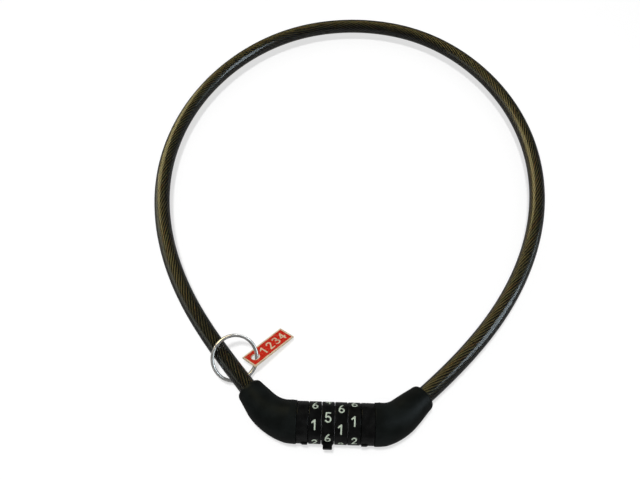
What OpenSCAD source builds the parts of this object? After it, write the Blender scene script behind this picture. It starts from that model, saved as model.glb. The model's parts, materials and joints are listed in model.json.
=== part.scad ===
// Four-dial cable lock: a loop of sheathed steel rope closed by a plug that slides
// into a combination barrel, with a split ring and a number tag on the cable.
//
// Frame: origin on the barrel's axis at the middle of the dial stack. +X runs along
// the barrel towards the plug that pulls out, +Y into the loop, +Z up. Millimetres.

/* [Barrel] */
// Outside diameter of the dials and collars
barrel_d = 22.6; // [22.5:0.1:24]
// Distance from one dial to the next
dial_pitch = 7.1; // [7:0.05:7.4]
// Gap between neighbouring dials
dial_gap = 0.2; // [0.1:0.05:0.3]
// Bevel on the edges of the dials and collars
edge_bevel = 0.35; // [0.2:0.05:0.5]
// Width of the collar that is fixed to the cable
collar_left_w = 6.5; // [6:0.1:8]
// Width of the collar that the plug enters
collar_right_w = 7.5; // [7:0.1:9]

/* [Numerals] */
// Height of a dial numeral
numeral_h = 5.7; // [4:0.1:6.4]
// Width of the line that draws a dial numeral
numeral_line = 0.85; // [0.6:0.05:1]
// Depth of the engraving
numeral_depth = 0.25; // [0.15:0.05:0.4]
// Angle of the numeral 1 on the first dial, from +Z towards the index pips
dial_1_turn = 21; // [-90:0.1:270]
// Angle of the numeral 1 on the second dial
dial_2_turn = 120; // [-90:0.1:270]
// Angle of the numeral 1 on the third dial
dial_3_turn = 32.1; // [-90:0.1:270]
// Angle of the numeral 1 on the fourth dial
dial_4_turn = 8.8; // [-90:0.1:270]

/* [Thumb lug] */
// Dial that carries the thumb lug
lug_dial = 2; // [1:1:4]
// Height of the thumb lug above its dial
lug_h = 2.8; // [2:0.1:4]
// Width of the thumb lug where it leaves the dial
lug_w = 6; // [4.8:0.1:6.4]
// Thickness of the thumb lug round the dial
lug_t = 3; // [2:0.1:3.6]

/* [Lock mechanism] */
// Outside diameter of the slotted tube
tube_d = 14; // [13.6:0.1:14.4]
// Diameter of the plug's bolt
bolt_d = 9; // [8:0.1:9.4]
// Radius to the tip of a bolt tooth
tooth_r = 8.3; // [8:0.05:8.4]
// Thickness of a bolt tooth along the bolt
tooth_t = 2; // [1.6:0.1:2.2]
// Width of a bolt tooth across the slot
tooth_w = 2.6; // [2:0.1:2.8]
// Outside diameter of the gate rings inside the dials
gate_d = 19; // [18.6:0.1:19.4]

/* [Cable] */
// Outside diameter of the cable's sheath
cable_d = 10; // [9:0.1:10.4]
// Diameter of the steel rope inside
rope_d = 6; // [5:0.1:6.4]
// Bend of the boot on the fixed end
bend_left = 48.4; // [40:0.1:55]
// Bend of the boot on the plug
bend_right = 42.2; // [35:0.1:50]
// Length of one cable link between two hinge points
link_len = 92; // [90:0.5:95]
// Gap between the ends of two links
link_gap = 1.4; // [1.2:0.1:2]

/* [Boots] */
// Largest diameter of the boots
boot_d = 23.4; // [23:0.1:24.5]
// Diameter of a boot before its rounded mouth
mouth_d = 15.6; // [14:0.1:17]

/* [Ring and tag] */
// Distance of the split ring from the mouth of the left boot along the cable
ring_at = 22.2; // [18:0.1:26]
// Mean diameter of the split ring
ring_d = 26; // [25:0.1:27]
// Diameter of the ring's wire
ring_wire = 1.05; // [0.9:0.05:1.2]
// Slope of the ring where it leans on the cable
ring_slope = 31.5; // [30:0.1:33]
// Length of the tag
tag_l = 30.7; // [28:0.1:34]
// Width of the tag
tag_w = 12; // [10:0.1:13]
// Thickness of the tag
tag_t = 0.8; // [0.6:0.05:1]
// Diameter of the hole in the tag
tag_hole_d = 4.8; // [4.6:0.1:5.2]

/* [Hidden] */
$fn = 96;

// ---- Barrel sizes
barrel_r = barrel_d / 2;
dials = 4;
faces = 6;
stack_half = dials * dial_pitch / 2;
dial_w = dial_pitch - dial_gap;
left_end = -stack_half - collar_left_w;
right_end = stack_half + dial_gap / 2 + collar_right_w;
collar_left_face = -stack_half - dial_gap / 2;
collar_right_face = stack_half + dial_gap / 2;
function dial_x(i) = (i - (dials + 1) / 2) * dial_pitch;

// ---- Mechanism sizes
tube_r = tube_d / 2;
bolt_r = bolt_d / 2;
slide_play = 0.075;
slot_w = tooth_w + 0.4;
gate_notch_w = tooth_w + 0.6;
gate_notch_r = tooth_r + 0.3;
gate_w = dial_pitch - 0.6;
groove_w = gate_w / 2 + 0.05;
tooth_x = -1.55;
tube_press = 5;
keyway_w = 1.6;
keyway_depth = 0.6;
washer_t = 0.4;
neck_d = 16;
neck_l = 5.3;
ferrule_d = 9.1;
ferrule_l = 6.4;
rope_start_left = 0;
rope_start_right = -4;
bolt_tip_x = -stack_half;
flange_d = 18;
flange_t = 1.5;
hub_d = 13;
hub_l = 3;
hub_end = flange_t + hub_l;
plug_gap = 0.1;
pin_d = 1.5;
pin_left_x = collar_left_face - 3;
pin_right_x = collar_right_face + 4;
pin_top_r = barrel_r - 0.6;
pin_tip_r = bolt_r + 0.25;
pip_left_x = collar_left_face - 1.6;
pip_right_x = collar_right_face + 1.8;
pip_h = 0.6;

// ---- Boots: the outer skin and the cable inside it each follow a straight, a bend
// and a straight, and both leave the mouth on one line
exit_left = [26.83, 16.33];
exit_right = [27.13, 16];
lip_left = 2.5;
lip_right = 1.65;
skin_rho_left = 27;
skin_rho_right = 23;
core_rho_left = 14;
core_rho_right = 11.7;
mouth_play = 0.4;
mouth_depth = 2.5;
mouth_round = 3.4;
mouth_drop = 2.1;
sleeve_l = 4.5;
fit = 0.05;
cable_fit = 0.08;
boot_facets = 40;

// A boot path is [straight, bend radius, bend angle, last straight]
function boot_path(to, bend, rho, lip) =
    let (reach = rho * tan(bend / 2),
         corner = to[0] - to[1] / tan(bend))
    [corner - reach, rho, bend, to[1] / sin(bend) - reach + lip];
function path_length(p) = p[0] + p[1] * p[2] * PI / 180 + p[3];

// Place [x, y, heading] at distance s along a boot path
function path_at(p, s) =
    let (arc = p[1] * p[2] * PI / 180,
         turned = max(0, min(p[2], (s - p[0]) / p[1] * 180 / PI)),
         first = min(s, p[0]),
         last = max(0, s - p[0] - arc))
    [first + p[1] * sin(turned) + last * cos(turned),
     p[1] * (1 - cos(turned)) + last * sin(turned),
     turned];

skin_left = boot_path(exit_left, bend_left, skin_rho_left, lip_left);
skin_right = boot_path(exit_right, bend_right, skin_rho_right, lip_right);
core_left = boot_path(exit_left, bend_left, core_rho_left, lip_left);
core_right = boot_path(exit_right, bend_right, core_rho_right, lip_right);

// ---- Cable loop: tangent arcs that turn clockwise from the left boot to the right one
cable_r = cable_d / 2;
rope_r = rope_d / 2;
sheath_bore_r = rope_r + fit;
set_turns = [2.4, 6.2, 29.8, 32.3, 37, 48.8, 41.8, 30.8, 29.5, 5.7];
function total(list, i = 0) = i < len(list) ? list[i] + total(list, i + 1) : 0;
turns = concat(set_turns, [360 - bend_left - bend_right - total(set_turns)]);
arcs = len(turns);
end_lens = [32, 40];
hairline = 0.02;
first_fitted = [2, 4];
last_fitted = [6, 8];

function heading(i) = i == 0 ? 180 - bend_left : heading(i - 1) - turns[i - 1];
function set_len(i) =
    i < 2 ? end_lens[i] : i > arcs - 3 ? end_lens[arcs - 1 - i] : link_len;
function set_radius(i) = set_len(i) / turns[i] * 180 / PI;
// Step from one end of arc i to the other for a radius of 1
function unit_step(i) =
    let (a = heading(i), b = heading(i + 1))
    [sin(a) - sin(b), cos(b) - cos(a)];
function within(i, span) = i >= span[0] && i <= span[1];
function set_step(i) = set_radius(i) * unit_step(i);
function steps(span) = [for (i = [0 : arcs - 1]) if (within(i, span)) set_step(i)];
function vec_total(list, i = 0) = i < len(list) ? list[i] + vec_total(list, i + 1) : [0, 0];

// Two scale factors on the radii bring the loop exactly to the right boot
loop_start = [left_end - exit_left[0], exit_left[1]];
loop_end = [right_end + exit_right[0], exit_right[1]];
left_sum = vec_total(steps(first_fitted));
right_sum = vec_total(steps(last_fitted));
free_sum = vec_total([for (i = [0 : arcs - 1])
    if (!within(i, first_fitted) && !within(i, last_fitted)) set_step(i)]);
gap_vec = loop_end - loop_start - free_sum;
det = left_sum[0] * right_sum[1] - left_sum[1] * right_sum[0];
left_scale = (gap_vec[0] * right_sum[1] - gap_vec[1] * right_sum[0]) / det;
right_scale = (left_sum[0] * gap_vec[1] - left_sum[1] * gap_vec[0]) / det;
function arc_radius(i) =
    set_radius(i) * (within(i, first_fitted) ? left_scale
        : within(i, last_fitted) ? right_scale : 1);
function joint_point(i) =
    i == 0 ? loop_start : joint_point(i - 1) + arc_radius(i - 1) * unit_step(i - 1);
function arc_centre(i) =
    joint_point(i) + arc_radius(i) * [sin(heading(i)), -cos(heading(i))];

// ---- Split ring and tag
ring_heading = heading(0) - ring_at / arc_radius(0) * 180 / PI;
ring_point = arc_centre(0) + arc_radius(0) * [-sin(ring_heading), cos(ring_heading)];
ring_offset = 4.2;
ring_r = ring_d / 2;
tag_on_ring = -123.2;
tag_azimuth = 46.65;
tag_slope = -11.6;
tag_roll = -23.2;
tag_end = 5.9;
tag_hole_x = -0.6;
tag_border = 0.95;
tag_relief_d = 6.8;
tag_relief = 0.1;
enamel_t = 0.25;
tag_number = [1, 2, 3, 4];

// ======================================================================= shapes

// A disc along X with beveled edges, from x0 to x1
module bevel_disc(x0, x1, r, bevel) {
    translate([x0, 0, 0])
        rotate([90, 0, 90])
            rotate_extrude()
                polygon([[0, 0], [r - bevel, 0], [r, bevel],
                         [r, x1 - x0 - bevel], [r - bevel, x1 - x0], [0, x1 - x0]]);
}

// A plain rod along X from x0 to x1
module rod(x0, x1, r) {
    translate([x0, 0, 0])
        rotate([0, 90, 0])
            cylinder(r = r, h = x1 - x0);
}

// The way that the bolt's teeth pass, pointing at the index pips on -Y
module tooth_way(x0, x1, w, r) {
    translate([x0, -r, -w / 2])
        cube([x1 - x0, r, w]);
}

// Line with round ends, for numerals
module bar(p, q, w) {
    d = q - p;
    translate(p)
        rotate(atan2(d[1], d[0]))
            translate([0, -w / 2])
                square([norm(d), w]);
    translate(p)
        circle(d = w, $fn = 24);
    translate(q)
        circle(d = w, $fn = 24);
}

// Part of a ring with round ends, from angle a0 round to a1
module bow(c, r, a0, a1, w) {
    steps = ceil((a1 - a0) / 60);
    step = (a1 - a0) / steps;
    far = (r + w) / cos(step / 2) * 1.1;
    translate(c)
        intersection() {
            difference() {
                circle(r = r + w / 2, $fn = 48);
                circle(r = r - w / 2, $fn = 48);
            }
            polygon(concat([[0, 0]],
                [for (k = [0 : steps]) far * [cos(a0 + k * step), sin(a0 + k * step)]]));
        }
    for (a = [a0, a1])
        translate(c + r * [cos(a), sin(a)])
            circle(d = w, $fn = 24);
}

// Plain numerals 1 to 6 on a field one unit high, centred; w is the line width
module numeral(n, w) {
    top = 0.5 - w / 2;
    half = 0.28 - w / 2;
    if (n == 1) {
        bar([0, -top], [0, top], w);
        bar([0, top], [-0.26, 0.2], w);
    }
    if (n == 2) {
        neck = 0.27 - w / 2;
        lean = 30;
        bow([0, top - neck], neck, -lean, 170, w);
        bar([neck * cos(lean), top - neck - neck * sin(lean)], [-neck, -top], w);
        bar([-neck, -top], [neck + 0.03, -top], w);
    }
    if (n == 3) {
        bow([0, top - 0.19], 0.19, -90, 150, w);
        bow([0, -top + 0.23], 0.23, -150, 90, w);
    }
    if (n == 4) {
        bar([0.1, -top], [0.1, top], w);
        bar([0.1, top], [-half - 0.02, -0.14], w);
        bar([-half - 0.02, -0.14], [half + 0.04, -0.14], w);
    }
    if (n == 5) {
        bar([half - 0.02, top], [-half + 0.03, top], w);
        bar([-half + 0.03, top], [-half, 0.04], w);
        bow([-0.02, -top + 0.25], 0.25, -150, 140, w);
    }
    if (n == 6) {
        bow([0, -top + 0.22], 0.22, 0, 360, w);
        bow([0.56, -top + 0.22], 0.78, 126, 180, w);
    }
}

// ======================================================================= barrel

module lock_tube() {
    color("silver")
        difference() {
            rod(collar_left_face - tube_press, right_end, tube_r);
            rod(collar_left_face - tube_press - 1, right_end + 1, bolt_r + slide_play);
            tooth_way(bolt_tip_x - 0.2, right_end + 1, slot_w, tube_r + 1);
            translate([collar_left_face - tube_press - 1, tube_r - keyway_depth, -keyway_w / 2])
                cube([right_end - collar_left_face + tube_press + 2, 2, keyway_w]);
            for (x = [pin_left_x, pin_right_x])
                pin_hole(x);
        }
}

module gate_ring(i) {
    x0 = dial_x(i) - gate_w / 2;
    x1 = dial_x(i) + gate_w / 2;
    color("goldenrod")
        difference() {
            rod(x0, x1, gate_d / 2);
            rod(x0 - 1, x1 + 1, tube_r + 0.06);
            rod(x0 - 1, x0 + groove_w, gate_notch_r);
            tooth_way(x0, x1 + 1, gate_notch_w, gate_notch_r);
        }
}

// A dial with six numerals; turn is the angle of the 1. One dial has a thumb lug too,
// between its 6 and its 1
module dial(i, turn) {
    x0 = dial_x(i) - dial_w / 2;
    x1 = dial_x(i) + dial_w / 2;
    color([0.05, 0.05, 0.05])
        difference() {
            union() {
                bevel_disc(x0, x1, barrel_r, edge_bevel);
                if (i == lug_dial)
                    translate([dial_x(i), 0, 0])
                        rotate([turn - 180 / faces, 0, 0])
                            thumb_lug();
            }
            rod(x0 - 1, x1 + 1, gate_d / 2);
            translate([dial_x(i), 0, 0])
                for (n = [1 : faces])
                    rotate([turn + (n - 1) * 360 / faces, 0, 0])
                        engraving(n);
        }
}

// Numeral on the +Z side of a dial, cut to an even depth
module engraving(n) {
    intersection() {
        translate([0, 0, barrel_r - 2])
            linear_extrude(3)
                scale(numeral_h)
                    numeral(n, numeral_line / numeral_h);
        difference() {
            rod(-dial_w, dial_w, barrel_r + 0.4);
            rod(-dial_w - 1, dial_w + 1, barrel_r - numeral_depth);
        }
    }
}

// A lug with a filleted foot and beveled corners, on the +Z side of a dial
module thumb_lug() {
    foot = lug_w / 2;
    side = foot - 0.45;
    corner = 0.4;
    tip = barrel_r + lug_h;
    half_outline = [[foot, barrel_r - 1], [foot, barrel_r + 0.1], [side, barrel_r + 0.5],
                    [side, tip - corner], [side - corner, tip]];
    translate([0, lug_t / 2, 0])
        rotate([90, 0, 0])
            linear_extrude(lug_t)
                for (flip = [0, 1])
                    mirror([flip, 0])
                        polygon(concat(half_outline, [[0, tip], [0, barrel_r - 1]]));
}

// Thin washers between the gate rings, each keyed to the tube by a tab
module friction_washers() {
    color("gainsboro")
        for (i = [1 : dials - 1])
            translate([dial_x(i) + dial_pitch / 2 - washer_t / 2, 0, 0])
                washer();
}

module washer() {
    difference() {
        rod(0, washer_t, gate_d / 2 - 0.2);
        difference() {
            rod(-1, washer_t + 1, tube_r + 0.03);
            translate([-1, tube_r - keyway_depth + 0.1, -keyway_w / 2 + 0.1])
                cube([washer_t + 2, 2, keyway_w - 0.2]);
        }
        tooth_way(-1, washer_t + 1, gate_notch_w, gate_notch_r);
    }
}

// Index pip that the numerals are read against, on the -Y side of a collar. Its foot is
// shorter towards the dials, which are on the side that inward points to.
module index_pip(x, inward) {
    thick = 2.4;
    outer = -inward * 2.4;
    inner = inward * 1.45;
    top = inward * 1.3;
    translate([x, 0, -thick / 2])
        linear_extrude(thick)
            polygon([[outer, -barrel_r + 1], [outer, -barrel_r], [-top, -barrel_r - pip_h],
                     [top, -barrel_r - pip_h], [inner, -barrel_r], [inner, -barrel_r + 1]]);
}

// Hole for a roll pin, on the underside
module pin_hole(x) {
    translate([x, 0, -barrel_r - 1])
        cylinder(d = pin_d, h = barrel_r + 1, $fn = 32);
}

module collar_left() {
    color([0.07, 0.07, 0.07])
        difference() {
            union() {
                bevel_disc(left_end, collar_left_face, barrel_r, edge_bevel);
                rod(left_end - neck_l, left_end + 1, neck_d / 2);
                index_pip(pip_left_x, 1);
            }
            rod(collar_left_face - tube_press, collar_left_face + 1, tube_r);
            rod(left_end - neck_l - 1, collar_left_face, ferrule_d / 2);
            pin_hole(pin_left_x);
        }
}

module collar_right() {
    color([0.07, 0.07, 0.07])
        difference() {
            union() {
                bevel_disc(collar_right_face, right_end, barrel_r, edge_bevel);
                index_pip(pip_right_x, -1);
            }
            rod(collar_right_face - 1, right_end + 1, tube_r);
            tooth_way(collar_right_face - 1, right_end + 1, gate_notch_w, gate_notch_r);
            pin_hole(pin_right_x);
        }
}

// Hollow pins that hold the two collars on the tube
module roll_pins() {
    color("dimgray")
        for (x = [pin_left_x, pin_right_x])
            translate([x, 0, -pin_top_r])
                difference() {
                    cylinder(d = pin_d, h = pin_top_r - pin_tip_r, $fn = 32);
                    translate([0, 0, -1])
                        cylinder(d = pin_d / 2, h = pin_top_r, $fn = 32);
                }
}

// ========================================================================= plug

module plug_bolt() {
    face = right_end + plug_gap;
    tip = 1;
    color("lightsteelblue")
        difference() {
            union() {
                bevel_disc(bolt_tip_x, face + 1, bolt_r, tip);
                rod(face - 2, face + flange_t, bolt_r);
                for (i = [1 : dials])
                    translate([dial_x(i) + tooth_x - tooth_t / 2, 0, 0])
                        tooth_way(0, tooth_t, tooth_w, tooth_r);
                bevel_disc(face, face + flange_t, flange_d / 2, 0.3);
                rod(face + flange_t - 0.1, face + hub_end, hub_d / 2);
            }
            rod(collar_right_face, face + hub_end + 1, rope_r + fit);
        }
}

module cable_ferrule() {
    end = left_end - neck_l + 0.1;
    color("darkgray")
        difference() {
            rod(end, end + ferrule_l, ferrule_d / 2);
            rod(end - 1, end + ferrule_l - 1, rope_r + fit);
        }
}

// ======================================================================== boots

// A skin turned round a bent path. Each profile entry is [path, distance, radius],
// and the profile closes on itself.
module bent_lathe(profile) {
    n = boot_facets;
    k = len(profile);
    points = [for (q = profile)
        let (at = path_at(q[0], q[1]), side = [-sin(at[2]), cos(at[2]), 0])
        for (j = [0 : n - 1])
            [at[0], at[1], 0] + q[2] * (cos(j * 360 / n) * side + [0, 0, sin(j * 360 / n)])];
    sides = [for (i = [0 : k - 1], j = [0 : n - 1])
        let (a = i * n + j, b = i * n + (j + 1) % n,
             c = (i + 1) % k * n + (j + 1) % n, d = (i + 1) % k * n + j)
        for (tri = [[a, c, b], [a, d, c]]) tri];
    polyhedron(points = points, faces = sides, convexity = 6);
}

// Outer radius of a boot at s of its length: a parallel sleeve, a taper, a rounded mouth
function boot_radius(s, len) =
    let (big = boot_d / 2,
         small = mouth_d / 2,
         along = max(0, min(1, (s - sleeve_l) / (len - mouth_round - sleeve_l))),
         over = max(0, (s - len + mouth_round) / mouth_round))
    big + (small - big) * along - mouth_drop * (1 - sqrt(max(0, 1 - over * over)));

// Pockets are [deep end, radius, open end], from the mouth towards the barrel
module boot(skin, core, pockets) {
    len = path_length(skin);
    core_len = path_length(core);
    edge = 0.6;
    body = 14;
    rounding = 7;
    passage_steps = 24;
    passage_end = pockets[0][0] + 0.1;
    passage_start = core_len - mouth_depth - 0.5;
    cable_hole = cable_r + cable_fit;
    lip = [[skin, 0, boot_d / 2 - 0.4], [skin, 0.15, boot_d / 2 - 0.1]];
    taper = [for (i = [0 : body])
        let (s = edge + (len - mouth_round - 2 * edge) * i / body)
        [skin, s, boot_radius(s, len)]];
    mouth = [for (i = [1 : rounding])
        let (s = len - mouth_round * (1 - sin(i * 90 / rounding)))
        [skin, s, boot_radius(s, len)]];
    bore = [[core, core_len, cable_r + mouth_play],
            [core, core_len - mouth_depth, cable_r + mouth_play],
            [core, core_len - mouth_depth - 0.1, cable_hole]];
    passage = [for (i = [0 : passage_steps])
        [core, passage_start + (passage_end - passage_start) * i / passage_steps, cable_hole]];
    steps = [for (p = pockets) for (s = [p[0], p[2]]) [core, s, p[1]]];
    bent_lathe(concat(lip, taper, mouth, bore, passage, steps));
}

// Puts a shape made along +X from the end of a collar on that end of the barrel
module at_left() {
    translate([left_end, 0, 0])
        mirror([1, 0, 0])
            children();
}
module at_right() {
    translate([right_end, 0, 0])
        children();
}

module boot_left() {
    neck_pocket = [neck_l + 0.1, neck_d / 2 + fit, 0];
    color([0.16, 0.17, 0.17])
        at_left()
            boot(skin_left, core_left, [neck_pocket]);
}

module boot_right() {
    hub_pocket = [plug_gap + hub_end + 0.1, hub_d / 2 + fit, plug_gap + flange_t + 0.1];
    flange_pocket = [plug_gap + flange_t + fit, flange_d / 2 + fit, plug_gap];
    color([0.16, 0.17, 0.17])
        at_right()
            boot(skin_right, core_right, [hub_pocket, flange_pocket]);
}

// ======================================================================== cable

// Flat section of the sheath or the rope
module section(bore, r) {
    difference() {
        circle(r = r);
        if (bore > 0)
            circle(r = bore);
    }
}

// Arc i of the loop, cut short by trim at its start and its end
module loop_arc(i, bore, r, start_trim, end_trim) {
    radius = arc_radius(i);
    start_cut = start_trim / radius * 180 / PI;
    end_cut = end_trim / radius * 180 / PI;
    c = arc_centre(i);
    translate([c[0], c[1], 0])
        rotate([0, 0, heading(i + 1) + 90 + end_cut])
            rotate_extrude(angle = turns[i] - start_cut - end_cut)
                translate([radius, 0])
                    section(bore, r);
}

// The cable inside a boot, from s0 to the mouth less the lip and trim. Its straights
// and its bend are separate solids with a hairline between them.
module boot_cable(core, s0, lip, trim, bore, r) {
    cut = hairline / core[1] * 180 / PI;
    translate([s0, 0, 0])
        straight_piece(core[0] - s0, bore, r);
    translate([core[0], core[1], 0])
        rotate([0, 0, -90 + cut])
            rotate_extrude(angle = core[2] - 2 * cut)
                translate([core[1], 0])
                    section(bore, r);
    start = path_at(core, path_length(core) - core[3]);
    translate([start[0], start[1], 0])
        rotate([0, 0, core[2]])
            straight_piece(core[3] - lip - trim, bore, r);
}

module straight_piece(len, bore, r) {
    rotate([90, 0, 90])
        linear_extrude(len)
            section(bore, r);
}

// Link 1 runs from the left boot, links 2 to 8 are single arcs, link 9 reaches the
// mouth of the right boot and link 10 is fixed inside it
module cable_link(k, bore, r, start_left, start_right) {
    half = link_gap / 2;
    if (k == 1) {
        at_left()
            boot_cable(core_left, start_left, lip_left, 0, bore, r);
        loop_arc(0, bore, r, hairline, hairline);
        loop_arc(1, bore, r, 0, half);
    }
    if (k > 1 && k < 9)
        loop_arc(k, bore, r, half, half);
    if (k == 9) {
        loop_arc(9, bore, r, half, hairline);
        loop_arc(10, bore, r, 0, 0);
    }
    if (k == 10)
        at_right()
            boot_cable(core_right, start_right, lip_right, 0.8, bore, r);
}

module sheath(k) {
    color([0.2, 0.19, 0.13])
        cable_link(k, sheath_bore_r, cable_r, neck_l + 0.2, plug_gap + hub_end + 0.2);
}

module rope(k) {
    color("slategray")
        cable_link(k, 0, rope_r, rope_start_left, rope_start_right);
}

// ================================================================= ring and tag

// Puts a shape in the frame of the ring: +X up the slope along the cable
module at_ring() {
    translate([ring_point[0], ring_point[1], 0])
        rotate([0, 0, ring_heading])
            translate([0, -ring_offset, 0])
                rotate([0, -ring_slope, 0])
                    children();
}

// Two turns of wire, one on the other
module split_ring() {
    color("silver")
        at_ring()
            for (side = [-1, 1])
                translate([0, 0, side * ring_wire * 0.46])
                    rotate_extrude()
                        translate([ring_r, 0])
                            circle(d = ring_wire, $fn = 32);
}

// Point of the ring that carries the tag, the origin of the tag's frame
function ring_to_row(p) =
    let (x = p[0] * cos(ring_slope), z = p[0] * sin(ring_slope), y = p[1] - ring_offset)
    [ring_point[0] + x * cos(ring_heading) - y * sin(ring_heading),
     ring_point[1] + x * sin(ring_heading) + y * cos(ring_heading), z];
tag_centre = ring_to_row(ring_r * [cos(tag_on_ring), sin(tag_on_ring)]);

module at_tag() {
    translate(tag_centre)
        rotate([0, 0, tag_azimuth])
            rotate([0, -tag_slope, 0])
                rotate([tag_roll, 0, 0])
                    children();
}

// A slab of the tag, set in from its edges by inset
module tag_slab(inset, z0, z1) {
    translate([inset - tag_end, inset - tag_w / 2, z0])
        cube([tag_l - 2 * inset, tag_w - 2 * inset, z1 - z0]);
}

module tag_hole(d) {
    translate([tag_hole_x, 0, -2])
        cylinder(d = d, h = 4, $fn = 48);
}

module tag_numbers() {
    figure_h = 6.4;
    first = 6.1;
    pitch = 4.8;
    for (k = [0 : len(tag_number) - 1])
        translate([first + k * pitch, 0, 0])
            linear_extrude(tag_t)
                scale(figure_h)
                    numeral(tag_number[k], 0.14);
}

// Shallow relief round the hole on the back, so a flat label clears the ring
module tag_back_relief() {
    translate([tag_hole_x, 0, -tag_t])
        cylinder(d = tag_relief_d, h = tag_t / 2 + tag_relief, $fn = 64);
}

// Recess for the enamel round the raised figures and the rim of the hole
module enamel_field() {
    top = tag_t / 2;
    rim = 0.6;
    difference() {
        tag_slab(tag_border, top - enamel_t, top);
        tag_numbers();
        tag_hole(tag_hole_d + rim);
    }
}

module tag_plate() {
    color([0.85, 0.75, 0.5])
        at_tag()
            difference() {
                tag_slab(0, -tag_t / 2, tag_t / 2);
                enamel_field();
                tag_hole(tag_hole_d);
                tag_back_relief();
            }
}

module tag_enamel() {
    color([0.85, 0.1, 0.08])
        at_tag()
            enamel_field();
}

// ======================================================================== nodes

lock_tube();
gate_ring(1);  // gate_ring_1
gate_ring(2);  // gate_ring_2
gate_ring(3);  // gate_ring_3
gate_ring(4);  // gate_ring_4
dial(1, dial_1_turn);  // dial_1
dial(2, dial_2_turn);  // dial_2
dial(3, dial_3_turn);  // dial_3
dial(4, dial_4_turn);  // dial_4
friction_washers();
collar_left();
collar_right();
roll_pins();
plug_bolt();
cable_ferrule();
boot_left();
boot_right();
split_ring();
tag_plate();
tag_enamel();
sheath(1);  // sheath_1
sheath(2);  // sheath_2
sheath(3);  // sheath_3
sheath(4);  // sheath_4
sheath(5);  // sheath_5
sheath(6);  // sheath_6
sheath(7);  // sheath_7
sheath(8);  // sheath_8
sheath(9);  // sheath_9
sheath(10);  // sheath_10
rope(1);  // rope_1
rope(2);  // rope_2
rope(3);  // rope_3
rope(4);  // rope_4
rope(5);  // rope_5
rope(6);  // rope_6
rope(7);  // rope_7
rope(8);  // rope_8
rope(9);  // rope_9
rope(10);  // rope_10
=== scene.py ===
"""Looks of the four-dial cable lock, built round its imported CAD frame. Lengths are in metres."""

import json
import math

import bmesh
import bpy
import numpy as np
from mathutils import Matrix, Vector

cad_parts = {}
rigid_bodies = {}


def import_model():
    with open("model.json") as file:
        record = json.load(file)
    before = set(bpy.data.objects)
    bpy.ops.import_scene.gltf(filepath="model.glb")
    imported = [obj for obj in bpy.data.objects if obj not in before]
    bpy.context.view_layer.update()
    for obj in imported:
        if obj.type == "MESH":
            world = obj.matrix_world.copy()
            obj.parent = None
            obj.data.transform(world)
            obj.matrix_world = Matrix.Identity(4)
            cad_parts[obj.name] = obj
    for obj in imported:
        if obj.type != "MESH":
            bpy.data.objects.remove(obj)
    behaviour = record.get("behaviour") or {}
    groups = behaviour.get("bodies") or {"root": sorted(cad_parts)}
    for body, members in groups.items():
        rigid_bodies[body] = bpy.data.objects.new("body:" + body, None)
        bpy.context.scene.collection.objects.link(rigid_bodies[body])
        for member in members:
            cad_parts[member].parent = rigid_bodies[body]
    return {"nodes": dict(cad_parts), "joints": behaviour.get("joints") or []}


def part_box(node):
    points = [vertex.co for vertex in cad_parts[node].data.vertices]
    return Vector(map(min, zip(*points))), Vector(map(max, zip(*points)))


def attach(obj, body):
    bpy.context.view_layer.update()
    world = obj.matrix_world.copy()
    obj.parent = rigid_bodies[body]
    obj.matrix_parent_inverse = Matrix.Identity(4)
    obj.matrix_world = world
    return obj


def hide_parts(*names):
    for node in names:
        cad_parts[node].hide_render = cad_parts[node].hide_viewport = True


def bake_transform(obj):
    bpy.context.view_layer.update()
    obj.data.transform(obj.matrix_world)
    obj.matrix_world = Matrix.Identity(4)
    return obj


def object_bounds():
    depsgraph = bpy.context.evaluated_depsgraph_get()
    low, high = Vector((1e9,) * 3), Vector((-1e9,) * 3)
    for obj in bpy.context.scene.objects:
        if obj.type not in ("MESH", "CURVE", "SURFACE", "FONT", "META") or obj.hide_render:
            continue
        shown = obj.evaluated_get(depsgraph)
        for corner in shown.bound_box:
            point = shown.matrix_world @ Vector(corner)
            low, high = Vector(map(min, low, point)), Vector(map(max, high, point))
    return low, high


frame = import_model()
cad_low, cad_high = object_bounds()

MM = 0.001
SHARP_ANGLE = math.radians(50)
JOINTS = {joint["name"]: joint for joint in frame["joints"]}

# Sockets of a colour mix node, which hides those of its other data types.
MIX_SHARE, MIX_FIRST, MIX_SECOND, MIX_RESULT = 0, 6, 7, 2

# ---- Barrel
DIALS = range(1, 5)
DIAL_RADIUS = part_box("collar_right")[1].z
NUMERAL_DEPTH = 0.25 * MM
NUMERAL_REACH = 2.4 * MM
PAINT_DROP = 0.03 * MM
NECK_RADIUS = 8 * MM
NECK_LENGTH = 5.3 * MM
HUB_RADIUS = 6.5 * MM
PLUG_GAP = 0.1 * MM
FLANGE_THICK = 1.5 * MM
LEFT_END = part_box("collar_left")[0].x + NECK_LENGTH
RIGHT_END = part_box("collar_right")[1].x

# ---- Boots. The skin and the cable inside it follow a straight, a bend and a straight.
# BOOT_EXIT is a point on the last straight, measured outwards and upwards from the end of
# the collar. The boot goes on past it by BOOT_LIP.
BOOT_BEND = {"left": math.radians(48.4), "right": math.radians(42.2)}
BOOT_EXIT = {"left": (26.83 * MM, 16.33 * MM), "right": (27.13 * MM, 16 * MM)}
BOOT_LIP = {"left": 2.5 * MM, "right": 1.65 * MM}
SKIN_BEND_RADIUS = {"left": 27 * MM, "right": 23 * MM}
CORE_BEND_RADIUS = {"left": 14 * MM, "right": 11.7 * MM}
BOOT_RADIUS = 11.7 * MM
SLEEVE = 4.5 * MM
TAPER_BELLY = 0.04
EDGE_ROUND = 0.3 * MM
COLLAR_GAP = 0.02 * MM
MOUTH_RADIUS = 7.8 * MM
MOUTH_DROP = 2.1 * MM
MOUTH_ROUND = 3.4 * MM
MOUTH_WELL = 2.5 * MM
WELL_PLAY = 0.4 * MM
HOLE_PLAY = 0.08 * MM
POCKET_PLAY = 0.05 * MM
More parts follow.
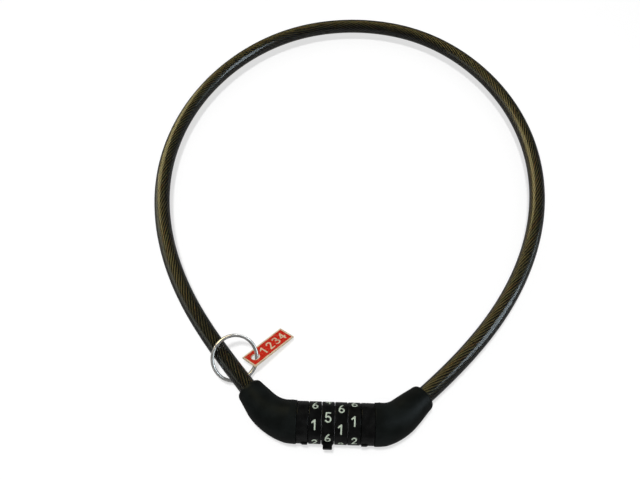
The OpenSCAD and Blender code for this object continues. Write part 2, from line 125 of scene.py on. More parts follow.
LEFT_MOUTH = (LEFT_END - BOOT_EXIT["left"][0], BOOT_EXIT["left"][1], 0)

# ---- Cable
SHEATH_RADIUS = 5 * MM
BORE_RADIUS = 3.05 * MM
ROPE_RADIUS = 3 * MM
ROPE_LAY = 49 * MM
ROPE_WIRES = 12
SMOKE_DENSITY = 800
CABLE_LINKS = 9
SHEATH_IN_LEFT_BOOT = 5.2 * MM
SHEATH_IN_RIGHT_BOOT = 4.8 * MM
ROPE_IN_BOLT = 4 * MM
MOUTH_SEAM = 1.5 * MM
SEAM_GAP = 0.02 * MM
SHEATH_STEP = 1.5 * MM
ROPE_STEP = 1.4 * MM
LAST_CUT = 0.6
BEND_SHARE = 0.3
BEND_SPAN = 60 * MM
# Painted shade on the rope near the left boot fades out between these distances from its mouth.
SHADE_FADE_FROM = 45 * MM
SHADE_FADE_TO = 95 * MM

# ---- Split ring. A crossing is the share of a turn that the wire takes to change sides.
RING_TURNS = 1.97
RING_START = math.radians(161.5)
RING_CROSSING = 0.09
RING_PITCH = 0.92
RING_END_SIZE = 0.9

# ---- Studio. A glow is a direction, a power and a colour.
SHEATH_GLOWS = (
    ((-0.5, 0.5, 0.7), 1.9, (1, 0.84, 0.5)),
    ((0.45, 0.6, 0.66), 0.35, (0.85, 0.95, 0.8)),
)
LOBE_EDGE = 0.65
DOME_LIGHT = 0.45
DOME_REFLECTED = 0.05
FLOOR_REACH = 3.0
FLOOR_DROP = 0.1 * MM
FLOOR_GLOW = 0.6

# A lamp is a name, a direction, a distance, a size, a power and a colour.
KEY_LAMP = ("key", (-0.08, -0.2, 0.97), 1.3, (0.14, 0.14), 11, (1, 1, 1))
REFLECTED_LAMPS = (
    ("warm_side", (-0.6, 0.58, 0.45), 1.3, (0.65, 0.9), 3.3, (1, 0.86, 0.4)),
    ("window", (0.85, -0.12, 0.55), 1.4, (0.5, 0.9), 3.5, (0.76, 0.9, 1)),
    ("low_right", (0.97, 0, 0.25), 1.4, (0.8, 0.3), 0.8, (0.8, 0.95, 1)),
)

# A private lamp is a name, the start of the lit pieces' names, a direction, a power and a colour.
PRIVATE_LAMPS = (
    ("ring_back", "split_ring", (0.45, 0.8, 0.35), 7, (0.95, 0.97, 1)),
    ("ring_warm", "split_ring", (-0.5, 0.6, 0.6), 7, (1, 0.85, 0.6)),
    ("sheath_left", "sheath_run", (-0.95, 0.05, 0.2), 1.8, (0.95, 1, 0.85)),
)
PRIVATE_DISTANCE = 1.2
PRIVATE_SIZE = (1.3, 0.8)

# ---- Camera
CAMERA_AZIMUTH = math.radians(2)
CAMERA_ELEVATION = math.radians(59.1)
CAMERA_DISTANCE = 411.3 * MM
AIM_SHIFT = (-18.48 * MM, -38.03 * MM)
FOCAL_LENGTH_MM = 36
SENSOR_WIDTH_MM = 36
NEAR_CLIP = 0.01


# ================================================================ tracks and skins


class Track:
    """A flat curve in the XY plane that gives its place and direction at any distance."""

    def __init__(self, points):
        self.points = np.asarray(points, float)
        steps = np.diff(self.points, axis=0)
        self.distance = np.concatenate([[0], np.cumsum(np.hypot(*steps.T))])
        self.length = self.distance[-1]
        slopes = np.gradient(self.points, self.distance, axis=0, edge_order=2)
        self.heading = np.unwrap(np.arctan2(slopes[:, 1], slopes[:, 0]))

    def place(self, s):
        """The point at distance s."""
        x = np.interp(s, self.distance, self.points[:, 0])
        y = np.interp(s, self.distance, self.points[:, 1])
        return np.array([x, y, 0.0])

    def side(self, s):
        """The flat direction square to the curve at distance s."""
        angle = np.interp(s, self.distance, self.heading)
        return np.array([-math.sin(angle), math.cos(angle), 0.0])

    def nearest(self, point):
        """The distance along the curve of its point nearest to a given one."""
        gaps = np.hypot(*(self.points - np.asarray(point)[:2]).T)
        return self.distance[gaps.argmin()]


def boot_track(end, bend_radius):
    """The path of a boot's skin or core, starting at the end of its collar."""
    bend = BOOT_BEND[end]
    out, rise = BOOT_EXIT[end]
    reach = bend_radius * math.tan(bend / 2)
    first = out - rise / math.tan(bend) - reach
    last = rise / math.sin(bend) - reach + BOOT_LIP[end]
    angles = np.linspace(0, bend, 60)
    arc_x = first + bend_radius * np.sin(angles)
    arc_y = bend_radius * (1 - np.cos(angles))
    arc = np.column_stack([arc_x, arc_y])
    tip = arc[-1] + last * np.array([math.cos(bend), math.sin(bend)])
    straight = np.linspace([0, 0], arc[0], 8)[:-1]
    points = np.vstack([straight, arc, np.linspace(arc[-1], tip, 30)[1:]])
    if end == "left":
        return Track(points * [-1, 1] + [LEFT_END, 0])
    return Track(points + [RIGHT_END, 0])


def knot_slopes(knots, spans, start_slope, end_slope):
    """Slopes at the knots that make the curvature of a cubic curve continuous."""
    count = len(knots)
    system = np.zeros((count, count))
    right = np.zeros((count, 2))
    system[0, 0] = system[-1, -1] = 1
    right[0], right[-1] = start_slope, end_slope
    for i in range(1, count - 1):
        before, after = spans[i - 1], spans[i]
        system[i, i - 1 : i + 2] = after, 2 * (before + after), before
        rise = (knots[i] - knots[i - 1]) * after / before
        right[i] = 3 * (rise + (knots[i + 1] - knots[i]) * before / after)
    return np.linalg.solve(system, right)


def spline(knots, start_slope, end_slope, samples):
    """A smooth cubic curve through the knots with set directions at its two ends."""
    knots = np.asarray(knots, float)
    spans = np.hypot(*np.diff(knots, axis=0).T)
    slopes = knot_slopes(knots, spans, start_slope, end_slope)
    points = []
    for i, span in enumerate(spans):
        t = np.linspace(0, 1, samples, endpoint=False)[:, None]
        points.append(
            (2 * t**3 - 3 * t**2 + 1) * knots[i]
            + (t**3 - 2 * t**2 + t) * span * slopes[i]
            + (3 * t**2 - 2 * t**3) * knots[i + 1]
            + (t**3 - t**2) * span * slopes[i + 1]
        )
    return np.vstack(points + [knots[-1:]])


def even_turn(count):
    """Angles that divide a full turn evenly."""
    return np.linspace(0, 2 * math.pi, count, endpoint=False)


def even_stops(s0, s1, step):
    """Distances from s0 to s1, about step apart."""
    return np.linspace(s0, s1, max(2, round((s1 - s0) / step)) + 1)


def ring_of(track, s, radius, turn):
    """Points round a track at distance s, one for each angle in turn."""
    flat = np.outer(radius * np.cos(turn), track.side(s))
    return track.place(s) + flat + np.outer(radius * np.sin(turn), [0, 0, 1])


def new_object(name, points, faces):
    """A smooth-shaded mesh object in the scene, with its sharp edges kept."""
    mesh = bpy.data.meshes.new(name)
    mesh.from_pydata(np.asarray(points).tolist(), [], faces)
    mesh.shade_smooth()
    mesh.set_sharp_from_angle(angle=SHARP_ANGLE)
    piece = bpy.data.objects.new(name, mesh)
    bpy.context.scene.collection.objects.link(piece)
    return piece


def strip_faces(rows, columns, close_rows=False):
    """Quads between rows of points, each row a closed ring."""
    faces = []
    for i in range(rows if close_rows else rows - 1):
        below, above = i * columns, (i + 1) % rows * columns
        for j in range(columns):
            k = (j + 1) % columns
            faces.append((below + j, above + j, above + k, below + k))
    return faces


def lathe(name, rings, flip=False):
    """A closed solid from rings of points whose profile comes back to its start."""
    faces = strip_faces(len(rings), len(rings[0]), close_rows=True)
    if flip:
        faces = [face[::-1] for face in faces]
    return new_object(name, np.vstack(rings), faces)


def rod(name, rings):
    """A solid from rings of points, with a flat face on its first ring and on its last."""
    columns = len(rings[0])
    last = (len(rings) - 1) * columns
    faces = strip_faces(len(rings), columns)
    faces.append(tuple(range(columns)))
    faces.append(tuple(last + j for j in range(columns))[::-1])
    return new_object(name, np.vstack(rings), [face[::-1] for face in faces])


# ====================================================================== materials


class Finish:
    """A material with helpers that add procedural nodes to it."""

    def __init__(self, name, **values):
        self.material = bpy.data.materials.new(name)
        self.material.use_nodes = True
        self.nodes = self.material.node_tree.nodes
        self.links = self.material.node_tree.links
        self.shader = self.nodes["Principled BSDF"]
        self.output = self.nodes["Material Output"]
        self.place = self.nodes.new("ShaderNodeTexCoord").outputs["Object"]
        self.set(self.shader, values)

    def set(self, node, values):
        """Sets a node's inputs by name, to a value or to another node's output."""
        for key, value in values.items():
            socket = node.inputs[key.replace("_", " ")]
            if isinstance(value, bpy.types.NodeSocket):
                self.links.new(value, socket)
            else:
                socket.default_value = value
        return node

    def coat(self, colour, roughness, normal=None):
        """Sets what the surface shows."""
        values = {"Base Color": colour, "Roughness": roughness}
        if normal is not None:
            values["Normal"] = normal
        self.set(self.shader, values)

    def add(self, kind, **values):
        """A new shader node with some of its inputs set."""
        return self.set(self.nodes.new("ShaderNode" + kind), values)

    def attribute(self, name):
        """A number that the mesh carries under a name."""
        node = self.nodes.new("ShaderNodeAttribute")
        node.attribute_name = name
        return node.outputs["Fac"]

    def noise(self, size, detail=3, rough=0.5, vector=None):
        """Noise whose cells are about size across."""
        node = self.add("TexNoise", Vector=vector or self.place, Scale=1 / size)
        node.inputs["Detail"].default_value = detail
        node.inputs["Roughness"].default_value = rough
        return node.outputs["Fac"]

    def stretched(self, x, y, z):
        """The object's coordinates, scaled along each axis."""
        return self.add("Mapping", Vector=self.place, Scale=(x, y, z)).outputs["Vector"]

    def ramp(self, value, low, high, start=0.3, end=0.7):
        """low to high as value goes from start to end."""
        node = self.nodes.new("ShaderNodeMapRange")
        node.interpolation_type = "SMOOTHSTEP"
        limits = {"Value": value, "From Min": start, "From Max": end}
        self.set(node, {**limits, "To Min": low, "To Max": high})
        return node.outputs["Result"]

    def blend(self, share, first, second):
        """Colour that goes from first to second with share."""
        node = self.nodes.new("ShaderNodeMix")
        node.data_type = "RGBA"
        for index, value in ((MIX_SHARE, share), (MIX_FIRST, first), (MIX_SECOND, second)):
            if isinstance(value, bpy.types.NodeSocket):
                self.links.new(value, node.inputs[index])
            else:
                node.inputs[index].default_value = value if index == MIX_SHARE else (*value, 1)
        return node.outputs[MIX_RESULT]

    def rounded(self, radius):
        """Normals that look as if edges were rounded by radius."""
        node = self.nodes.new("ShaderNodeBevel")
        node.samples = 6
        node.inputs["Radius"].default_value = radius
        return node.outputs["Normal"]

    def bump(self, height, depth, strength=1.0, under=None):
        """Normals of a surface that height raises by up to depth, on top of those in under."""
        values = {"Height": height, "Distance": depth, "Strength": strength}
        if under is not None:
            values["Normal"] = under
        return self.set(self.nodes.new("ShaderNodeBump"), values).outputs["Normal"]


def gloss_black(name, tint, rough):
    """Moulded glossy black plastic with faint smudges and fine scuffs."""
    finish = Finish(name, IOR=1.5)
    finish.shader.inputs["Specular IOR Level"].default_value = 0.38
    smudge = finish.noise(3.5 * MM, detail=4)
    scuff = finish.noise(0.22 * MM, detail=2, vector=finish.stretched(6, 1, 1))
    smudged = [c * 1.7 + 0.001 for c in tint]
    colour = finish.blend(finish.ramp(smudge, 0, 1), tint, smudged)
    roughness = finish.ramp(smudge, rough, rough + 0.13)
    normal = finish.bump(scuff, 0.006 * MM, 0.5, finish.rounded(0.3 * MM))
    finish.coat(colour, roughness, normal)
    return finish.material


def boot_rubber():
    """Satin moulded rubber: a fine grain, soft waves and a trace of dust."""
    finish = Finish("boot_rubber", IOR=1.4)
    finish.shader.inputs["Specular IOR Level"].default_value = 0.28
    waves = finish.noise(9 * MM, detail=3)
    grain = finish.noise(0.28 * MM, detail=3, rough=0.6)
    dust = finish.noise(1.6 * MM, detail=5, rough=0.7)
    body = finish.blend(finish.ramp(waves, 0, 1), (0.0035, 0.0045, 0.004), (0.006, 0.008, 0.0075))
    colour = finish.blend(finish.ramp(dust, 0, 0.5, 0.55, 0.8), body, (0.014, 0.017, 0.015))
    roughness = finish.ramp(waves, 0.4, 0.5)
    under = finish.bump(waves, 0.12 * MM, 0.5)
    finish.coat(colour, roughness, finish.bump(grain, 0.02 * MM, 0.55, under))
    return finish.material


def smoky_pvc():
    """Clear smoky sheath: glass on its outer wall, optical contact with the rope inside."""
    finish = Finish("smoky_pvc", IOR=1.46, Transmission_Weight=1, Coat_Weight=1)
    finish.shader.inputs["Specular IOR Level"].default_value = 0.1
    ripple = finish.noise(7 * MM, detail=2)
    haze = finish.noise(2.2 * MM, detail=4)
    scuff = finish.noise(0.5 * MM, detail=3)
    normal = finish.bump(ripple, 0.16 * MM, 0.3, finish.bump(scuff, 0.004 * MM, 0.3))
    finish.coat((0.93, 0.93, 0.9, 1), finish.ramp(haze, 0.02, 0.07), normal)
    sheen = finish.ramp(haze, 0.24, 0.34)
    finish.set(finish.shader, {"Coat Roughness": sheen, "Coat Normal": normal})
    inside = finish.nodes.new("ShaderNodeBsdfTransparent")
    mix = finish.nodes.new("ShaderNodeMixShader")
    finish.links.new(finish.attribute("outer_wall"), mix.inputs[0])
    finish.links.new(inside.outputs[0], mix.inputs[1])
    finish.links.new(finish.shader.outputs[0], mix.inputs[2])
    finish.links.new(mix.outputs[0], finish.output.inputs["Surface"])
    smoke = finish.add("VolumeAbsorption", Color=(0.6, 0.6, 0.51, 1), Density=SMOKE_DENSITY)
    finish.links.new(smoke.outputs[0], finish.output.inputs["Volume"])
    return finish.material


def metal(name, colour, rough, grain=0.4 * MM, stretch=(1, 1, 1), metallic=1.0, depth=0.008 * MM):
    """Worked metal with streaked roughness and slightly uneven colour."""
    finish = Finish(name, Metallic=metallic)
    streak = finish.noise(grain, detail=3, vector=finish.stretched(*stretch))
    stain = finish.noise(4 * MM, detail=4)
    dull = [c * 0.72 for c in colour]
    shade = finish.blend(finish.ramp(stain, 0, 1), dull, colour)
    roughness = finish.ramp(streak, rough * 0.75, rough * 1.35)
    finish.coat(shade, roughness, finish.bump(streak, depth, 0.4))
    return finish.material


def wire_tint(finish):
    """A colour for each wire, between warm and greenish steel."""
    tint = finish.add("TexWhiteNoise")
    tint.noise_dimensions = "1D"
    finish.set(tint, {"W": finish.attribute("wire")})
    return finish.blend(tint.outputs["Value"], (0.62, 0.42, 0.27), (0.52, 0.56, 0.4))


def rope_steel():
    """Steel wires with painted shade in the creases between them, and painted shade on the cable
    near the left boot.
    """
    finish = Finish("rope_steel", Metallic=0.85)
    stain = finish.noise(4 * MM, detail=3)
    pale = finish.blend(finish.ramp(stain, 0, 0.6), wire_tint(finish), (0.74, 0.7, 0.6))
    # Painted shade: the creases between the wires are coloured near black, and the crests keep the
    # steel colour.
    on_crest = finish.ramp(finish.attribute("crest"), 0, 1, 0.3, 0.9)
    shade = finish.blend(on_crest, (0.012, 0.012, 0.009), pale)
    # Painted shade: the rope is coloured darker near the left boot's mouth, fading out further along
    # the cable.
    away = finish.nodes.new("ShaderNodeVectorMath")
    away.operation = "DISTANCE"
    finish.links.new(finish.place, away.inputs[0])
    away.inputs[1].default_value = LEFT_MOUTH
    painted_shade_fade = finish.ramp(away.outputs["Value"], 0.4, 1, SHADE_FADE_FROM, SHADE_FADE_TO)
    shade = finish.blend(painted_shade_fade, (0.02, 0.024, 0.018), shade)
    finish.coat(shade, finish.ramp(stain, 0.28, 0.42))
    return finish.material


def paint(name, colour, rough, depth=0.02 * MM):
    """Filled paint or enamel with a faint flow to its surface."""
    finish = Finish(name, IOR=1.5)
    flow = finish.noise(1.2 * MM, detail=3)
    speck = finish.noise(0.35 * MM, detail=3)
    worn = [c * 0.8 for c in colour]
    shade = finish.blend(finish.ramp(speck, 0, 1, 0.35, 0.75), colour, worn)
    normal = finish.bump(flow, depth, 0.6)
    finish.coat(shade, finish.ramp(flow, rough, rough + 0.15), normal)
    return finish.material


dial_black = gloss_black("dial_black", (0.0022, 0.0024, 0.0023), 0.13)
collar_black = gloss_black("collar_black", (0.0028, 0.003, 0.0029), 0.17)
rubber = boot_rubber()
pvc = smoky_pvc()
rope_wire = rope_steel()
ring_steel = metal("ring_steel", (0.97, 0.96, 0.93), 0.2, 1.2 * MM, metallic=0.8, depth=0.001 * MM)
tube_steel = metal("tube_steel", (0.62, 0.63, 0.65), 0.3, 0.3 * MM, (0.3, 4, 4), 0.65)
bolt_steel = metal("bolt_steel", (0.56, 0.58, 0.62), 0.22, 0.3 * MM, (4, 0.3, 0.3), 0.65)
pin_steel = metal("pin_steel", (0.35, 0.35, 0.36), 0.35)
gate_brass = metal("gate_brass", (0.75, 0.56, 0.24), 0.28, 0.3 * MM, (4, 0.5, 0.5))
tag_brass = metal("tag_brass", (0.78, 0.62, 0.43), 0.34, 0.5 * MM, metallic=0.25)
numeral_paint = paint("numeral_paint", (0.46, 0.53, 0.43), 0.42)
tag_red = paint("tag_red", (0.54, 0.014, 0.003), 0.2)

CAD_FINISH = {
    "lock_tube": tube_steel,
    "friction_washers": tube_steel,
    "plug_bolt": bolt_steel,
    "cable_ferrule": tube_steel,
    "roll_pins": pin_steel,
    "collar_left": collar_black,
    "collar_right": collar_black,
    "tag_plate": tag_brass,
    "tag_enamel": tag_red,
}
for i in DIALS:
    CAD_FINISH[f"dial_{i}"] = dial_black
    CAD_FINISH[f"gate_ring_{i}"] = gate_brass


def finish_cad_nodes():
    """Gives the CAD nodes that stay in the picture their materials."""
    for name, finish in CAD_FINISH.items():
        for slot in frame["nodes"][name].material_slots:
            slot.material = finish


# ========================================================================= barrel


def numeral_floors(source):
    """The faces of a dial's mesh that are the floors of its engraved numerals."""
    floor = DIAL_RADIUS - NUMERAL_DEPTH
    middle = sum(v.co.x for v in source.vertices) / len(source.vertices)

    def on_floor(v):
        x, y, z = source.vertices[v].co
        deep = abs(math.hypot(y, z) - floor) < PAINT_DROP
        return deep and abs(x - middle) < NUMERAL_REACH

    return [tuple(face.vertices) for face in source.polygons if all(map(on_floor, face.vertices))]


def numeral_fill(i):
    """Paint that fills the numerals of a dial: the floors of its engraving, raised."""
    source = frame["nodes"][f"dial_{i}"].data
    faces = numeral_floors(source)
    used = sorted({v for face in faces for v in face})
    order = {v: k for k, v in enumerate(used)}
    points = []
    for v in used:
        x, y, z = source.vertices[v].co
        lift = (DIAL_RADIUS - PAINT_DROP) / math.hypot(y, z)
        points.append((x, y * lift, z * lift))
    piece = new_object(f"numerals_{i}", points, [tuple(order[v] for v in f) for f in faces])
    weld(piece)
    shell = piece.modifiers.new("depth", "SOLIDIFY")
    shell.thickness = 0.9 * (NUMERAL_DEPTH - PAINT_DROP)
    shell.offset = -1
    piece.data.materials.append(numeral_paint)
    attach(piece, f"wheel_{i}")


def weld(piece):
    """Joins the doubled points of a mesh."""
    cage = bmesh.new()
    cage.from_mesh(piece.data)
    bmesh.ops.remove_doubles(cage, verts=cage.verts, dist=0.002 * MM)
    cage.to_mesh(piece.data)
    cage.free()


# ========================================================================== boots


def boot_radius(s, length):
    """Outer radius at s: a parallel sleeve, a taper and a rounded mouth."""
    along = min(1, max(0, (s - SLEEVE) / (length - MOUTH_ROUND - SLEEVE)))
    belly = TAPER_BELLY * math.sin(math.pi * along) * math.sin(2 * math.pi * along)
    over = max(0, (s - length + MOUTH_ROUND) / MOUTH_ROUND)
    drop = MOUTH_DROP * (1 - math.sqrt(max(0, 1 - over * over)))
    return BOOT_RADIUS + (MOUTH_RADIUS - BOOT_RADIUS) * (along + belly) - drop


def skin_profile(skin):
    """The outside of a boot: a rounded edge at the collar, then all that boot_radius shapes."""
    profile = [(skin, COLLAR_GAP, BOOT_RADIUS - 1.5 * EDGE_ROUND)]
    for a in np.linspace(0, math.pi / 2, 5):
        s = COLLAR_GAP + EDGE_ROUND * (1 - math.cos(a))
        profile.append((skin, s, BOOT_RADIUS - EDGE_ROUND * (1 - math.sin(a))))
    body = np.linspace(2 * EDGE_ROUND, skin.length - MOUTH_ROUND, 56)
    quarter = np.linspace(0, math.pi / 2, 12)[1:]
    rounding = skin.length - MOUTH_ROUND * (1 - np.sin(quarter))
    for s in [*body, *rounding]:
        profile.append((skin, s, boot_radius(s, skin.length)))
    return profile


def hole_profile(core, pockets):
    """The inside of a boot: a flared well round the cable, its hole, and pockets at the collar."""
    well = SHEATH_RADIUS + WELL_PLAY
    profile = [(core, core.length - 0.05 * MM, well + 0.12 * MM)]
    profile.append((core, core.length - 0.2 * MM, well))
    profile.append((core, core.length - MOUTH_WELL, well))
    hole_start = core.length - MOUTH_WELL - 0.2 * MM
    hole_end = pockets[0][0] + 0.1 * MM
    for s in np.linspace(hole_start, hole_end, 30):
        profile.append((core, s, SHEATH_RADIUS + HOLE_PLAY))
    for deep, radius, shallow in pockets:
        profile.append((core, deep, radius))
        profile.append((core, shallow, radius))
    return profile


def boot(end, body, pockets):
    """A boot as one closed skin. A pocket is its deep end, its radius and its shallow end."""
    skin = boot_track(end, SKIN_BEND_RADIUS[end])
    core = boot_track(end, CORE_BEND_RADIUS[end])
    profile = skin_profile(skin) + hole_profile(core, pockets)
    turn = even_turn(96)
    rings = [ring_of(track, s, radius, turn) for track, s, radius in profile]
    piece = lathe(f"boot_{end}_skin", rings, flip=end == "left")
    piece.data.materials.append(rubber)
    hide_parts(f"boot_{end}")
    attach(piece, body)


def boots():
    """The left boot, round the collar's neck, and the right one, round the bolt's hub and flange."""
    neck_end = LEFT_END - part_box("collar_left")[0].x
    hub_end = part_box("plug_bolt")[1].x - RIGHT_END
    flange_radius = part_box("plug_bolt")[1].z
    flange_end = PLUG_GAP + FLANGE_THICK + POCKET_PLAY
    neck = (neck_end + 2 * POCKET_PLAY, NECK_RADIUS + POCKET_PLAY, 0)
    hub = (hub_end + 2 * POCKET_PLAY, HUB_RADIUS + POCKET_PLAY, flange_end + POCKET_PLAY)
    flange = (flange_end, flange_radius + POCKET_PLAY, PLUG_GAP)
    boot("left", "barrel", [neck])
    boot("right", "plug", [hub, flange])


# ========================================================================== cable


def before_lip(end):
    """The path of the cable inside a boot, and the distance at which its free part starts."""
    core = boot_track(end, CORE_BEND_RADIUS[end])
    return core, core.length - BOOT_LIP[end]


def cable_track():
    """The cable's centre line through the hinges, from inside one boot into the other."""
    left, left_exit = before_lip("left")
    right, right_exit = before_lip("right")
    hinges = [JOINTS[f"cable_flex_{k}"]["pos_m"][:2] for k in range(1, CABLE_LINKS)]
    start = np.array([-math.cos(BOOT_BEND["left"]), math.sin(BOOT_BEND["left"])])
    end = -np.array([math.cos(BOOT_BEND["right"]), math.sin(BOOT_BEND["right"])])
    knots = [left.place(left_exit)[:2], *hinges, right.place(right_exit)[:2]]
    free = spline(knots, start, end, 160)
    inside_left = left.points[left.distance < left_exit - 0.3 * MM]
    inside_right = right.points[right.distance < right_exit - 0.3 * MM]
    rope_end = right.points[0] - [ROPE_IN_BOLT, 0]
    return Track(np.vstack([inside_left, free, inside_right[::-1], rope_end]))


def link_cuts(track):
    """Distances of the hinges, and those where one stretch of cable ends and the next starts."""
    hinges = [track.nearest(JOINTS[f"cable_flex_{k}"]["pos_m"]) for k in range(1, CABLE_LINKS)]
    middles = [(a + b) / 2 for a, b in zip(hinges, hinges[1:])]
    first = hinges[0] - (middles[0] - hinges[0])
    last = hinges[-1] + (hinges[-1] - middles[-1]) * LAST_CUT
    mouth = track.nearest(boot_track("right", CORE_BEND_RADIUS["right"]).points[-1])
    return hinges, [first, *middles, last, mouth + MOUTH_SEAM]


def sheath_piece(name, track, s0, s1):
    """A tube from s0 to s1 whose bore touches the rope; outer_wall marks its outside."""
    turn = even_turn(48)
    stops = even_stops(s0 + SEAM_GAP / 2, s1 - SEAM_GAP / 2, SHEATH_STEP)
    outer = [ring_of(track, s, SHEATH_RADIUS, turn) for s in stops]
    inner = [ring_of(track, s, BORE_RADIUS, turn) for s in stops[::-1]]
    piece = lathe(name, outer + inner, flip=True)
    marks = np.zeros(len(piece.data.polygons), np.float32)
    marks[: (len(stops) - 1) * len(turn)] = 1
    wall = piece.data.attributes.new("outer_wall", "FLOAT", "FACE")
    wall.data.foreach_set("value", marks)
    piece.data.materials.append(pvc)
    return piece


def mark_points(piece, name, values):
    """Stores one number for each point of a mesh, repeated ring after ring."""
    store = piece.data.attributes.new(name, "FLOAT", "POINT")
    rings = len(piece.data.vertices) // len(values)
    store.data.foreach_set("value", np.tile(values, rings).astype(np.float32))


def rope_piece(name, track, s0, s1):
    """Outer wires of a steel rope laid right-handed, from s0 to s1, with closed ends."""
    per_wire = 10
    turn = even_turn(ROPE_WIRES * per_wire)
    narrow = math.sin(math.pi / ROPE_WIRES)
    wire = ROPE_RADIUS * narrow / (1 + narrow)
    centre = ROPE_RADIUS - wire
    off = (turn * ROPE_WIRES / (2 * math.pi) % 1 - 0.5) * 2 * math.pi / ROPE_WIRES
    across = centre * np.sin(off)
    radius = centre * np.cos(off) + np.sqrt(np.maximum(wire**2 - across**2, 0))
    rings = []
    for s in even_stops(s0, s1, ROPE_STEP):
        twist = 2 * math.pi * s / ROPE_LAY
        rings.append(ring_of(track, s, radius, turn + twist))
    piece = rod(name, rings)
    mark_points(piece, "crest", (radius - radius.min()) / (radius.max() - radius.min()))
    mark_points(piece, "wire", np.repeat(np.arange(ROPE_WIRES), per_wire))
    piece.data.materials.append(rope_wire)
    return piece


def bend_with_links(piece, track, hinge, length):
    """Works out the span round a hinge over which a stretch of cable would blend between two links,
    but only bakes the stretch's transform in place.
    """
    reach = min(length, BEND_SPAN) * BEND_SHARE
    start = track.place(hinge - reach)
    end = track.place(hinge + reach)
    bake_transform(piece)


def cable():
    """Stretch 1 is fixed in the left boot, 2 to 9 stay unattached where they are laid, 10 ends at
    the right boot, 11 is in it.
    """
    track = cable_track()
    hinges, cuts = link_cuts(track)
    stops = [0, *cuts, track.length]
    count = len(stops) - 1
    for k, (s0, s1) in enumerate(zip(stops, stops[1:]), start=1):
        first = s0 + (SHEATH_IN_LEFT_BOOT if k == 1 else 0)
        last = s1 - (SHEATH_IN_RIGHT_BOOT + ROPE_IN_BOLT if k == count else 0)
        sheath = sheath_piece(f"sheath_run_{k}", track, first, last)
        rope = rope_piece(f"rope_run_{k}", track, s0, s1)
        for part, piece in (("sheath", sheath), ("rope", rope)):
            if k <= CABLE_LINKS:
                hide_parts(f"{part}_{k}")
            if k == 1:
                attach(piece, "barrel")
            elif k == count:
                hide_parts(f"{part}_{CABLE_LINKS + 1}")
                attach(piece, "plug")
            elif k == count - 1:
                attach(piece, f"cable_{CABLE_LINKS}")
            else:
                bend_with_links(piece, track, hinges[k - 2], s1 - s0)


# ===================================================================== split ring


def ring_frame():
    """Centre, axis, ring radius and wire radius of the CAD split ring."""
    points = np.array([v.co for v in frame["nodes"]["split_ring"].data.vertices])
    centre = points.mean(0)
    spread = points - centre
    _, _, directions = np.linalg.svd(spread, full_matrices=False)
    axis = directions[2] * (1 if directions[2][2] > 0 else -1)
    gaps = np.linalg.norm(spread - np.outer(spread @ axis, axis), axis=1)
    radius = (gaps.max() + gaps.min()) / 2
    wire = (gaps.max() - gaps.min()) / 2
    return centre, axis, radius, wire


def split_ring():
    """Nearly two turns of round wire, side by side, that cross over half-way along."""
    centre, axis, radius, wire = ring_frame()
    flat = np.array([1, 0, 0]) - axis[0] * axis
    first = flat / np.linalg.norm(flat)
    second = np.cross(axis, first)
    turn = even_turn(20)
    stops = 360
    rings = []
    for k in range(stops + 1):
        turns = k / stops * RING_TURNS
        angle = RING_START + 2 * math.pi * turns
        out = math.cos(angle) * first + math.sin(angle) * second
        side = RING_PITCH * math.tanh((turns - RING_TURNS / 2) / RING_CROSSING)
        middle = centre + radius * out + wire * side * axis
        size = wire * (RING_END_SIZE if k in (0, stops) else 1)
        section = np.outer(size * np.cos(turn), out) + np.outer(size * np.sin(turn), axis)
        rings.append(middle + section)
    piece = rod("split_ring_wire", rings)
    piece.data.materials.append(ring_steel)
    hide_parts("split_ring")
    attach(piece, "ring")


# =================================================================== studio, camera


def floor():
    """Plain pale floor just under the object, dim where it is seen reflected or refracted."""
    height = cad_low.z - FLOOR_DROP
    signs = ((-1, -1), (1, -1), (1, 1), (-1, 1))
    corners = [(FLOOR_REACH * x, FLOOR_REACH * y, height) for x, y in signs]
    piece = new_object("floor", corners, [(0, 1, 2, 3)])
    finish = Finish("pale_floor", Roughness=0.9)
    finish.shader.inputs["Specular IOR Level"].default_value = 0
    rays = finish.nodes.new("ShaderNodeLightPath")
    reflected = rays.outputs["Is Glossy Ray"]
    refracted = rays.outputs["Is Transmission Ray"]
    grain = finish.ramp(finish.noise(0.4, detail=2), 0, 1)
    pale = finish.blend(grain, (0.41, 0.41, 0.41), (0.43, 0.43, 0.43))
    colour = finish.blend(reflected, pale, (0.08, 0.08, 0.08))
    colour = finish.blend(refracted, colour, (0.01, 0.01, 0.01))
    glow = finish.blend(reflected, (1, 1, 1), (0.1, 0.1, 0.1))
    glow = finish.blend(refracted, glow, (0.01, 0.012, 0.008))
    values = {"Base Color": colour, "Emission Color": glow, "Emission Strength": FLOOR_GLOW}
    finish.set(finish.shader, values)
    piece.data.materials.append(finish.material)


def softbox(name, direction, distance, size, power, colour, glossy=True, diffuse=True):
    """A soft rectangular light aimed at the object from a direction."""
    lamp = bpy.data.lights.new(name, "AREA")
    lamp.shape = "RECTANGLE"
    lamp.size, lamp.size_y = size
    lamp.energy = power
    lamp.color = colour
    place = bpy.data.objects.new(name, lamp)
    away = Vector(direction).normalized()
    middle = (cad_low + cad_high) / 2
    place.location = middle + away * distance
    place.rotation_euler = (-away).to_track_quat("-Z", "Y").to_euler()
    place.visible_glossy = glossy
    place.visible_diffuse = diffuse
    place.visible_camera = False
    place.visible_transmission = False
    bpy.context.scene.collection.objects.link(place)
    return place


def private_lamp(name, prefix, direction, power, colour):
    """A wide light that only the pieces whose names start with prefix reflect."""
    group = bpy.data.collections.new(name)
    for piece in bpy.context.scene.objects:
        if piece.name.startswith(prefix) and piece.name not in frame["nodes"]:
            group.objects.link(piece)
    lamp = softbox(name, direction, PRIVATE_DISTANCE, PRIVATE_SIZE, power, colour, diffuse=False)
    lamp.light_linking.receiver_collection = group


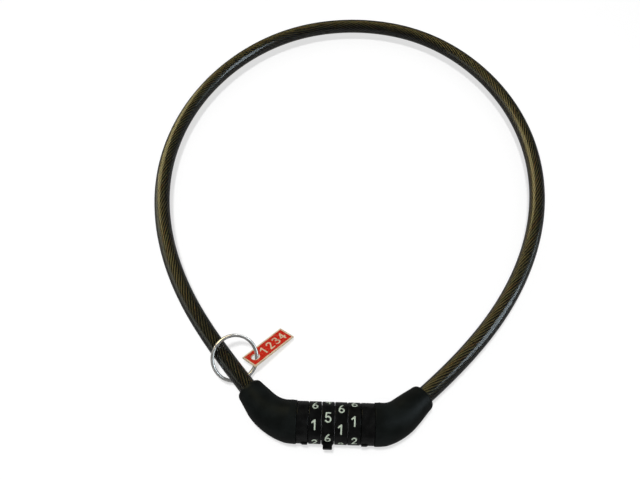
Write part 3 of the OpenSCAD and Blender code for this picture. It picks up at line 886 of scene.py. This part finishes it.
def lamps():
    """One small light for shading and shadows, the rest only for reflections."""
    softbox(*KEY_LAMP, glossy=False)
    for lamp in REFLECTED_LAMPS:
        softbox(*lamp, diffuse=False)
    for lamp in PRIVATE_LAMPS:
        private_lamp(*lamp)


def world_lobe(tree, direction, power, colour):
    """Light from round a direction, fading with angle, as a colour."""
    sky = tree.nodes.new("ShaderNodeTexCoord")
    aim = tree.nodes.new("ShaderNodeVectorMath")
    aim.operation = "DOT_PRODUCT"
    tree.links.new(sky.outputs["Generated"], aim.inputs[0])
    aim.inputs[1].default_value = Vector(direction).normalized()
    fade = tree.nodes.new("ShaderNodeMapRange")
    fade.interpolation_type = "SMOOTHSTEP"
    tree.links.new(aim.outputs["Value"], fade.inputs["Value"])
    fade.inputs["From Min"].default_value = LOBE_EDGE
    fade.inputs["To Max"].default_value = power
    tint = tree.nodes.new("ShaderNodeVectorMath")
    tint.operation = "SCALE"
    tint.inputs[0].default_value = colour
    tree.links.new(fade.outputs["Result"], tint.inputs["Scale"])
    return tint.outputs["Vector"]


def dome():
    """An even sky for matt surfaces, dim for reflections, with glows for what is in the sheath."""
    world = bpy.data.worlds.new("studio")
    world.use_nodes = True
    tree = world.node_tree
    rays = tree.nodes.new("ShaderNodeLightPath")
    level = tree.nodes.new("ShaderNodeMapRange")
    tree.links.new(rays.outputs["Is Diffuse Ray"], level.inputs["Value"])
    level.inputs["To Min"].default_value = DOME_REFLECTED
    level.inputs["To Max"].default_value = DOME_LIGHT
    glow = tree.nodes.new("ShaderNodeVectorMath")
    glow.operation = "ADD"
    for slot, lobe in enumerate(SHEATH_GLOWS):
        tree.links.new(world_lobe(tree, *lobe), glow.inputs[slot])
    choice = tree.nodes.new("ShaderNodeMix")
    choice.data_type = "RGBA"
    tree.links.new(rays.outputs["Is Transmission Ray"], choice.inputs[MIX_SHARE])
    tree.links.new(level.outputs["Result"], choice.inputs[MIX_FIRST])
    tree.links.new(glow.outputs["Vector"], choice.inputs[MIX_SECOND])
    tree.links.new(choice.outputs[MIX_RESULT], tree.nodes["Background"].inputs["Color"])
    bpy.context.scene.world = world


def camera():
    """Looks down at the front of the barrel, with the whole loop in the picture."""
    lens = bpy.data.cameras.new("camera")
    lens.lens = FOCAL_LENGTH_MM
    lens.sensor_width = SENSOR_WIDTH_MM
    lens.clip_start = NEAR_CLIP
    eye = bpy.data.objects.new("camera", lens)
    middle = (cad_low + cad_high) / 2
    aim = Vector((middle.x + AIM_SHIFT[0], middle.y + AIM_SHIFT[1], 0))
    level = math.cos(CAMERA_ELEVATION)
    x = math.sin(CAMERA_AZIMUTH) * level
    y = -math.cos(CAMERA_AZIMUTH) * level
    back = Vector((x, y, math.sin(CAMERA_ELEVATION)))
    eye.location = aim + back * CAMERA_DISTANCE
    eye.rotation_mode = "QUATERNION"
    eye.rotation_quaternion = (-back).to_track_quat("-Z", "Y")
    bpy.context.scene.collection.objects.link(eye)
    bpy.context.scene.camera = eye


finish_cad_nodes()
for i in DIALS:
    numeral_fill(i)
boots()
cable()
split_ring()
floor()
dome()
lamps()
camera()
bpy.context.scene.view_settings.view_transform = "Standard"
